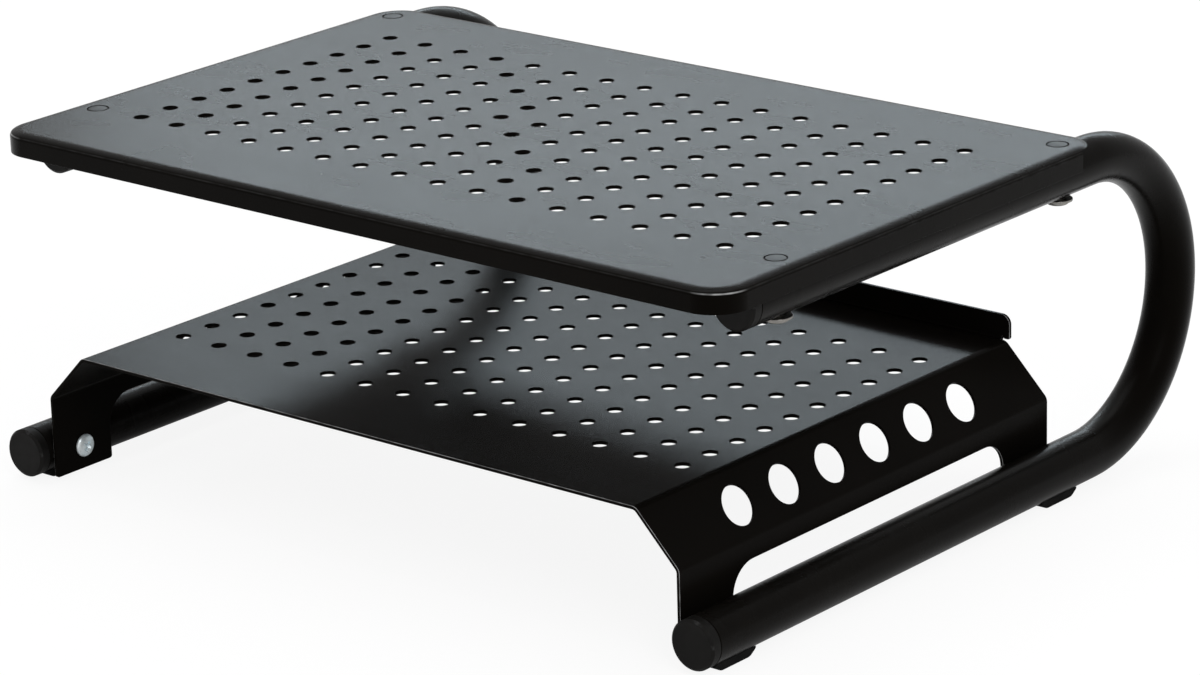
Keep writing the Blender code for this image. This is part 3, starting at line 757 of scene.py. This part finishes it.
SLOT_INSIDE = SLOT_OUTSIDE - LIP_SLOT_WIDTH
SLOT_MIDDLE = (SLOT_OUTSIDE + SLOT_INSIDE) / 2


def section(u):
    """Where a place across the flat blank comes to lie: x, z and how far its face leans outward."""
    left = abs(u)
    x = 0.0
    z = DECK_Z
    lean = 0.0
    for length, bend in RUNS:
        part = min(left, length)
        swing = lean + bend * part / length
        if bend:
            x += FOLD_RADIUS * (math.sin(swing) - math.sin(lean))
            z -= FOLD_RADIUS * (math.cos(lean) - math.cos(swing))
        else:
            x += part * math.cos(lean)
            z -= part * math.sin(lean)
        lean = swing
        left -= part
    return math.copysign(x, u), z, math.copysign(lean, u)


def folded(u, v):
    """A place of the blank's face after folding, and the ways across, along and out of it there."""
    beside_slot = abs(u) > SLOT_MIDDLE
    if (beside_slot and v < LIP_FOOT - TINY) or v <= LIP_START:
        x, z, lean = section(u)
        return (Vector((x, v, z)), Vector((math.cos(lean), 0, -math.sin(lean))), Vector((0, 1, 0)),
                Vector((math.sin(lean), 0, math.cos(lean))))
    turn = math.pi / 2 if beside_slot else min((v - LIP_START) / LIP_FOLD_RADIUS, math.pi / 2)
    rise = v - LIP_STRAIGHT if beside_slot else max(v - LIP_STRAIGHT, 0.0)
    place = Vector((u, LIP_START + LIP_FOLD_RADIUS * math.sin(turn),
                    DECK_Z + LIP_FOLD_RADIUS * (1 - math.cos(turn)) + rise))
    return (place, Vector((1, 0, 0)), Vector((0, math.cos(turn), math.sin(turn))),
            Vector((0, -math.sin(turn), math.cos(turn))))


def shelf_outline():
    """The blank's outline, counter-clockwise, and its creases as pairs of the outline's points."""
    folds = []
    for start, end in ((RUNS[0][0], SLANT_START), (SLANT_END, FLANGE_START)):
        folds += [start + (end - start) * step / FOLD_STEPS for step in range(FOLD_STEPS + 1)]
    lip_folds = [LIP_START + (LIP_STRAIGHT - LIP_START) * step / LIP_FOLD_STEPS
                 for step in range(LIP_FOLD_STEPS + 1)]
    front_notch = SHELF_FRONT_Y + TAB_LENGTH
    rear_notch = LIP_FACE_Y - TAB_LENGTH
    slot_floor = LIP_START - LIP_SLOT_WIDTH
    slot_top = LIP_STRAIGHT + LIP_SLOT_WIDTH
    right = [(u, SHELF_FRONT_Y, 0) for u in folds]
    right += [(FLANGE_END, SHELF_FRONT_Y, TAB_CORNER_RADIUS),
              (FLANGE_END, front_notch, TAB_CORNER_RADIUS),
              (NOTCH_EDGE, front_notch, NOTCH_CORNER_RADIUS),
              (NOTCH_EDGE, rear_notch, NOTCH_CORNER_RADIUS),
              (FLANGE_END, rear_notch, TAB_CORNER_RADIUS),
              (FLANGE_END, SIDE_REAR_Y, TAB_CORNER_RADIUS)]
    right += [(u, SIDE_REAR_Y, 0) for u in reversed(folds)]
    right += [(SLOT_OUTSIDE, SIDE_REAR_Y, 0), (SLOT_OUTSIDE, slot_floor, LIP_SLOT_RADIUS),
              (SLOT_INSIDE, slot_floor, LIP_SLOT_RADIUS)]
    right += [(SLOT_INSIDE, v, 0) for v in lip_folds]
    right += [(SLOT_INSIDE, slot_top, LIP_SLOT_RADIUS), (SLOT_OUTSIDE, slot_top, LIP_SLOT_RADIUS),
              (SLOT_OUTSIDE, LIP_FOOT, LIP_FOOT_INNER_RADIUS),
              (LIP_HALF_WIDTH, LIP_FOOT, LIP_FOOT_RADIUS),
              (LIP_HALF_WIDTH, LIP_END, LIP_CORNER_RADIUS)]
    left = [(-u, v, radius) for u, v, radius in reversed(right)]
    outline = rounded(right + left, ARC_STEPS, True)

    def nearest(u, v):
        place = Vector((u, v))
        return min(range(len(outline)), key=lambda index: (outline[index] - place).length)

    creases = [(nearest(side * u, SHELF_FRONT_Y), nearest(side * u, SIDE_REAR_Y))
               for side in (-1, 1) for u in folds]
    creases += [(nearest(-SLOT_INSIDE, v), nearest(SLOT_INSIDE, v)) for v in lip_folds]
    return outline, creases


def make_lower_shelf():
    holes = hole_grid(DECK_HOLE_COLUMNS, DECK_GRID_Y)
    row_u = SLANT_START + SLANT / 2 + SIDE_HOLE_DROP - UPPER_TANGENT
    middle_y = (SHELF_FRONT_Y + LIP_FACE_Y) / 2
    for side, side_name in SIDES:
        for number in range(SIDE_HOLE_COUNT):
            y = middle_y + (number - (SIDE_HOLE_COUNT - 1) / 2) * SIDE_HOLE_PITCH
            holes.append(oval((side * row_u, y), SIDE_HOLE_LONG, SIDE_HOLE_SHORT,
                              math.pi / 2 + side * SIDE_HOLE_LEAN, SIDE_HOLE_SIDES))
        for end in ENDS:
            low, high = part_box(f"{side_name}_{end}_tab_screw")
            middle = (low + high) / 2
            holes.append(round_hole(side * (FLANGE_END - middle.z + FLANGE_BOTTOM_Z), middle.y,
                                    SCREW_HOLE_RADIUS, SCREW_HOLE_SIDES))
    outline, creases = shelf_outline()
    outer_edge = cut_edge(SHELF_SHEET, SHELF_EDGE_RADIUS)
    hole_edge = cut_edge(SHELF_SHEET)
    edged_holes = [(hole, hole_edge) for hole in holes]
    points, normals, faces = blank((outline, outer_edge), edged_holes, creases)
    places = []
    turned_normals = []
    for (u, v, w), (across_share, along_share, out_share) in zip(points, normals):
        place, across, along, out = folded(u, v)
        places.append(place + out * w)
        turned_normals.append(across * across_share + along * along_share + out * out_share)
    mesh = bpy.data.meshes.new("folded_shelf")
    mesh.from_pydata(places, [], faces)
    mesh.shade_smooth()
    mesh.normals_split_custom_set_from_vertices(turned_normals)
    # Painted highlight: a pale line on the rounded cut edges, full outside the deck's flat and
    # faint along it
    edge_highlight = mesh.attributes.new(EDGE_HIGHLIGHT_LAYER, "FLOAT", "POINT").data
    for index in range(len(outline) * len(outer_edge)):
        if TINY < normals[index][2] < 1 - TINY:
            edge_highlight[index].value = 1.0 if DECK_FLAT < abs(points[index][0]) else DECK_EDGE_HIGHLIGHT
    add_piece("lower_shelf", mesh, "powder_coat_sheet", finish="powder_coat_shelf")


# Leg tubes

def leg_mesh(name, x):
    """A bent tube with a bore: rings along its outside, then back along its inside."""
    middle_z = (UPPER_AXIS_Z + LOWER_AXIS_Z) / 2
    bend = []
    for step in range(BEND_STEPS + 1):
        turn = math.pi * step / BEND_STEPS
        bend.append((BEND_Y + BEND_RADIUS * math.sin(turn),
                     middle_z + BEND_RADIUS * math.cos(turn), turn))
    upper_end = (UPPER_TUBE_FRONT_Y, UPPER_AXIS_Z, 0.0)
    upper_edge = (UPPER_TUBE_FRONT_Y + TUBE_END_CHAMFER, UPPER_AXIS_Z, 0.0)
    lower_edge = (LOWER_TUBE_FRONT_Y + TUBE_END_CHAMFER, LOWER_AXIS_Z, math.pi)
    lower_end = (LOWER_TUBE_FRONT_Y, LOWER_AXIS_Z, math.pi)
    bore = TUBE_RADIUS - TUBE_WALL
    rings = [(upper_end, TUBE_RADIUS - TUBE_END_CHAMFER)]
    rings += [(station, TUBE_RADIUS) for station in [upper_edge] + bend + [lower_edge]]
    rings += [(lower_end, TUBE_RADIUS - TUBE_END_CHAMFER), (lower_end, bore)]
    rings += [(station, bore) for station in reversed(bend)]
    rings += [(upper_end, bore)]
    bm = bmesh.new()
    loops = []
    for (y, z, turn), radius in rings:
        loop = []
        for step in range(TUBE_SIDES):
            angle = 2 * math.pi * step / TUBE_SIDES
            reach = radius * math.sin(angle)
            loop.append(bm.verts.new((x + radius * math.cos(angle), y + reach * math.sin(turn),
                                      z + reach * math.cos(turn))))
        loops.append(loop)
    for first, second in zip(loops, loops[1:] + loops[:1]):
        for step in range(TUBE_SIDES):
            following = (step + 1) % TUBE_SIDES
            bm.faces.new((first[step], second[step], second[following], first[following]))
    bmesh.ops.recalc_face_normals(bm, faces=bm.faces)
    return to_mesh(bm, name)


def make_leg(side, side_name):
    x = side * TUBE_X
    drills = []
    for end in ENDS:
        low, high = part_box(f"{side_name}_{end}_shelf_bolt")
        y = (low.y + high.y) / 2
        drills.append((INSERT_DRILL_RADIUS, (x, y, UPPER_AXIS_Z + TUBE_RADIUS), (0, 0, 1)))
        drills.append((BOLT_DRILL_RADIUS, (x, y, UPPER_AXIS_Z - TUBE_RADIUS), (0, 0, 1)))
        low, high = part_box(f"{side_name}_{end}_rivet_nut")
        y = (low.y + high.y) / 2
        drills.append((NUT_DRILL_RADIUS, (x - side * TUBE_RADIUS, y, LOWER_AXIS_Z), (1, 0, 0)))
    bm = bmesh.new()
    for radius, centre, axis in drills:
        add_cylinder(bm, radius, TUBE_RADIUS, centre, axis, DRILL_SIDES)
    name = side_name + "_tube"
    mesh = worked(name, leg_mesh(name, x), [to_mesh(bm, name + "_drills")])
    add_piece(side_name + "_leg_tube", mesh, "powder_coat_tube")


# Turned pieces

def turned(name, corners, closed=False):
    """A solid of revolution round Z; corners are (radius, height, fillet), down the outer side."""
    profile = rounded(corners, FILLET_STEPS, closed)
    bm = bmesh.new()
    rings = []
    for radius, height in profile:
        steps = TURN_STEPS if radius > TINY else 1
        rings.append([bm.verts.new((radius * math.cos(2 * math.pi * step / TURN_STEPS),
                                    radius * math.sin(2 * math.pi * step / TURN_STEPS), height))
                      for step in range(steps)])
    following_rings = rings[1:] + rings[:1] if closed else rings[1:]
    for upper, lower in zip(rings, following_rings):
        for step in range(TURN_STEPS):
            after = (step + 1) % TURN_STEPS
            corners_used = (upper[step % len(upper)], lower[step % len(lower)],
                            lower[after % len(lower)], upper[after % len(upper)])
            bm.faces.new(list(dict.fromkeys(corners_used)))
    return to_mesh(bm, name)


def make_plugs():
    mesh = worked("plug", turned("plug", [
        (0, PLUG_HEAD_LENGTH, 0), (TUBE_RADIUS - PLUG_CHAMFER, PLUG_HEAD_LENGTH, PLUG_FILLET),
        (TUBE_RADIUS, PLUG_HEAD_LENGTH - PLUG_CHAMFER, PLUG_FILLET),
        (TUBE_RADIUS, GAP, CUT_EDGE_RADIUS), (PLUG_STEM_RADIUS, GAP, 0),
        (PLUG_STEM_RADIUS, -PLUG_STEM_LENGTH, PLUG_FILLET), (0, -PLUG_STEM_LENGTH, 0)]))
    for _, side_name in SIDES:
        for level in ("upper", "lower"):
            node = f"{side_name}_{level}_end_plug"
            low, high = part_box(node)
            middle = (low + high) / 2
            place = Matrix.Translation((middle.x, low.y + PLUG_HEAD_LENGTH, middle.z))
            add_piece(node, mesh, "plug_plastic", place @ Matrix.Rotation(math.pi / 2, 4, "X"))


def foot_block(half):
    """A foot's side outline, with slanting ends, drawn out across it and rounded at its sides."""
    outline = rounded([
        (-half.y, FOOT_BLOCK_HEIGHT, 0), (-half.y, FOOT_END_RISE, FOOT_END_ROUND),
        (FOOT_END_RUN - half.y, 0, FOOT_SOLE_ROUND), (half.y - FOOT_END_RUN, 0, FOOT_SOLE_ROUND),
        (half.y, FOOT_END_RISE, FOOT_END_ROUND), (half.y, FOOT_BLOCK_HEIGHT, 0)],
        FOOT_ROUND_STEPS, True)
    bm = bmesh.new()
    left, right = ([bm.verts.new((side * half.x, y, z)) for y, z in outline] for side in (-1, 1))
    bm.faces.new(left)
    bm.faces.new(right)
    for index in range(len(outline)):
        bm.faces.new((left[index - 1], left[index], right[index], right[index - 1]))
    bmesh.ops.recalc_face_normals(bm, faces=bm.faces)
    along = [e for e in bm.edges if abs(e.verts[0].co.x - e.verts[1].co.x) < TINY]
    bmesh.ops.bevel(bm, geom=along, offset=FOOT_SIDE_ROUND, segments=FOOT_ROUND_STEPS,
                    profile=0.5, affect="EDGES")
    return to_mesh(bm, "foot")


def make_feet():
    low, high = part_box("right_front_foot")
    size = high - low
    block = foot_block(size / 2)
    bm = bmesh.new()
    add_cylinder(bm, TUBE_RADIUS + SADDLE_GAP, 2 * size.y, (0, 0, LOWER_AXIS_Z), (0, 1, 0),
                 SADDLE_SIDES)
    mesh = worked("foot", block, [to_mesh(bm, "saddle")])
    for _, side_name in SIDES:
        for end in ENDS:
            node = f"{side_name}_{end}_foot"
            low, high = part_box(node)
            middle = (low + high) / 2
            add_piece(node, mesh, "foot_rubber", Matrix.Translation((middle.x, middle.y, 0)))


def cross_recess(name, head_height):
    """Two tapered bars that cut a cross into a screw's head."""
    bars = []
    sizes = ((RECESS_SPAN, RECESS_WIDTH), (RECESS_WIDTH, RECESS_SPAN))
    floor_z = head_height * (1 - RECESS_DEPTH_SHARE)
    for number, (span, width) in enumerate(sizes):
        bm = bmesh.new()
        bar = add_box(bm, (-span / 2, -width / 2, floor_z),
                      (span / 2, width / 2, head_height + GAP))
        low = [v for v in bar if v.co.z < floor_z + TINY]
        bmesh.ops.scale(bm, vec=(RECESS_TAPER, RECESS_TAPER, 1), verts=low)
        bars.append(to_mesh(bm, f"{name}_recess_{number}"))
    return bars


def pan_head(name, head_radius, head_height, shank_radius, shank_length):
    """A screw with a domed head on a short wall."""
    wall = HEAD_WALL_SHARE * head_height
    dome = head_height - wall
    corners = [(head_radius * math.sin(angle), wall + dome * math.cos(angle), 0)
               for angle in quarter(HEAD_STEPS)]
    corners += [(head_radius, 0, HEAD_RIM_ROUND), (shank_radius, 0, 0),
                (shank_radius, -shank_length, HEAD_RIM_ROUND), (0, -shank_length, 0)]
    return worked(name, turned(name, corners), cross_recess(name, head_height))


def make_shelf_fixings():
    bore = BOLT_SHANK_RADIUS + GAP
    bore_end = INSERT_BORE_DEPTH - INSERT_LENGTH
    insert = worked("insert", turned("insert", [
        (0, 0, 0), (INSERT_HEAD_RADIUS, 0, INSERT_EDGE), (INSERT_HEAD_RADIUS, -SHEET, 0),
        (INSERT_STEM_RADIUS, -SHEET, 0), (INSERT_STEM_RADIUS, -INSERT_LENGTH, INSERT_EDGE),
        (bore, -INSERT_LENGTH, INSERT_EDGE), (bore, bore_end, 0), (0, bore_end, 0)]))
    washer = worked("washer", turned("washer", [
        (bore, 0, WASHER_EDGE), (WASHER_RADIUS, 0, WASHER_EDGE),
        (WASHER_RADIUS, -WASHER_THICKNESS, WASHER_EDGE), (bore, -WASHER_THICKNESS, WASHER_EDGE)],
        closed=True))
    bolt = pan_head("bolt", BOLT_HEAD_RADIUS, BOLT_HEAD_HEIGHT, BOLT_SHANK_RADIUS,
                    BOLT_SHANK_LENGTH)
    for _, side_name in SIDES:
        for number, end in enumerate(ENDS):
            node = f"{side_name}_{end}_"
            low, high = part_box(node + "shelf_insert")
            middle = (low + high) / 2
            add_piece(node + "shelf_insert", insert, "insert_steel",
                      Matrix.Translation((middle.x, middle.y, high.z)))
            low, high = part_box(node + "washer")
            add_piece(node + "washer", washer, "zinc_plate",
                      Matrix.Translation((middle.x, middle.y, high.z)), "zinc_steel")
            low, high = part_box(node + "shelf_bolt")
            add_piece(node + "shelf_bolt", bolt, "zinc_plate",
                      Matrix.Translation((middle.x, middle.y, low.z + BOLT_HEAD_HEIGHT))
                      @ Matrix.Rotation(math.pi, 4, "X")
                      @ Matrix.Rotation(SCREW_TURN * number, 4, "Z"), "zinc_steel")


def make_tab_fixings():
    screw = pan_head("tab_screw", SCREW_HEAD_RADIUS, SCREW_HEAD_HEIGHT, SCREW_SHANK_RADIUS,
                     SCREW_SHANK_LENGTH)
    for side, side_name in SIDES:
        for number, end in enumerate(ENDS):
            node = f"{side_name}_{end}_"
            low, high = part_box(node + "tab_screw")
            middle = (low + high) / 2
            seat_x = low.x + SCREW_HEAD_HEIGHT if side > 0 else high.x - SCREW_HEAD_HEIGHT
            add_piece(node + "tab_screw", screw, "zinc_plate",
                      Matrix.Translation((seat_x, middle.y, middle.z))
                      @ Matrix.Rotation(-side * math.pi / 2, 4, "Y")
                      @ Matrix.Rotation(SCREW_TURN * (number + side), 4, "Z"))
            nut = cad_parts[node + "rivet_nut"]
            nut.data.materials.clear()
            nut.data.materials.append(FINISHES["zinc_plate"])


# Studio

def make_floor():
    """A pale floor, whitened for the camera and in what mirrors it, with the shadow left in."""
    bm = bmesh.new()
    corners = [bm.verts.new((x * FLOOR_HALF_SIZE, y * FLOOR_HALF_SIZE, 0))
               for x, y in ((-1, -1), (1, -1), (1, 1), (-1, 1))]
    bm.faces.new(corners)
    floor = bpy.data.objects.new("floor", to_mesh(bm, "floor"))
    look = Finish("floor_pale")
    look.shade(Base_Color=FLOOR_COLOUR, Roughness=FLOOR_ROUGHNESS)
    white = look.node("ShaderNodeEmission", Strength=FLOOR_WHITE_LEVEL).outputs[0]
    path = look.node("ShaderNodeLightPath").outputs
    share = look.math("MULTIPLY", path["Is Glossy Ray"], FLOOR_MIRRORED_SHARE)
    for kind in ("Is Camera Ray", "Is Transmission Ray"):
        share = look.math("MAXIMUM", share, look.math("MULTIPLY", path[kind], FLOOR_WHITE_SHARE))
    look.feed(look.tree.nodes["Material Output"].inputs["Surface"],
              look.mixed(share, look.shader.outputs[0], white))
    floor.data.materials.append(look.material)
    bpy.context.scene.collection.objects.link(floor)


def make_world():
    world = bpy.data.worlds.new("studio")
    bpy.context.scene.world = world
    world.use_nodes = True
    room = Nodes(world.node_tree)
    shown = room.tree.nodes["Background"].inputs
    room.feed(shown["Color"], ROOM_COLOUR)
    room.feed(shown["Strength"], ROOM_LEVEL)


def add_lamp(name, place, target, roll, width, height, watts, colour):
    lamp = bpy.data.lights.new(name, "AREA")
    lamp.shape = "RECTANGLE"
    lamp.size = width
    lamp.size_y = height
    lamp.energy = watts
    lamp.color = colour
    holder = bpy.data.objects.new(name, lamp)
    holder.location = place
    holder.rotation_mode = "QUATERNION"
    holder.rotation_quaternion = ((Vector(target) - Vector(place)).to_track_quat("-Z", "Y")
                                  @ Quaternion((0, 0, 1), math.radians(roll)))
    bpy.context.scene.collection.objects.link(holder)


def make_camera():
    data = bpy.data.cameras.new("camera")
    data.lens = CAMERA_LENS_MM
    data.sensor_width = CAMERA_SENSOR_MM
    camera = bpy.data.objects.new("camera", data)
    camera.location = CAMERA_PLACE
    forward = Vector((-math.sin(CAMERA_AZIMUTH) * math.cos(CAMERA_ELEVATION),
                      math.cos(CAMERA_AZIMUTH) * math.cos(CAMERA_ELEVATION),
                      -math.sin(CAMERA_ELEVATION)))
    camera.rotation_mode = "QUATERNION"
    camera.rotation_quaternion = (forward.to_track_quat("-Z", "Y")
                                  @ Quaternion((0, 0, 1), CAMERA_ROLL))
    bpy.context.scene.collection.objects.link(camera)
    bpy.context.scene.camera = camera


FINISHES = make_finishes()
make_camera()
make_top_shelf()
make_lower_shelf()
for leg_side, leg_name in SIDES:
    make_leg(leg_side, leg_name)
make_plugs()
make_feet()
make_shelf_fixings()
make_tab_fixings()
make_floor()
make_world()
for lamp_settings in LAMPS:
    add_lamp(*lamp_settings)
bpy.context.scene.view_settings.view_transform = "Standard"
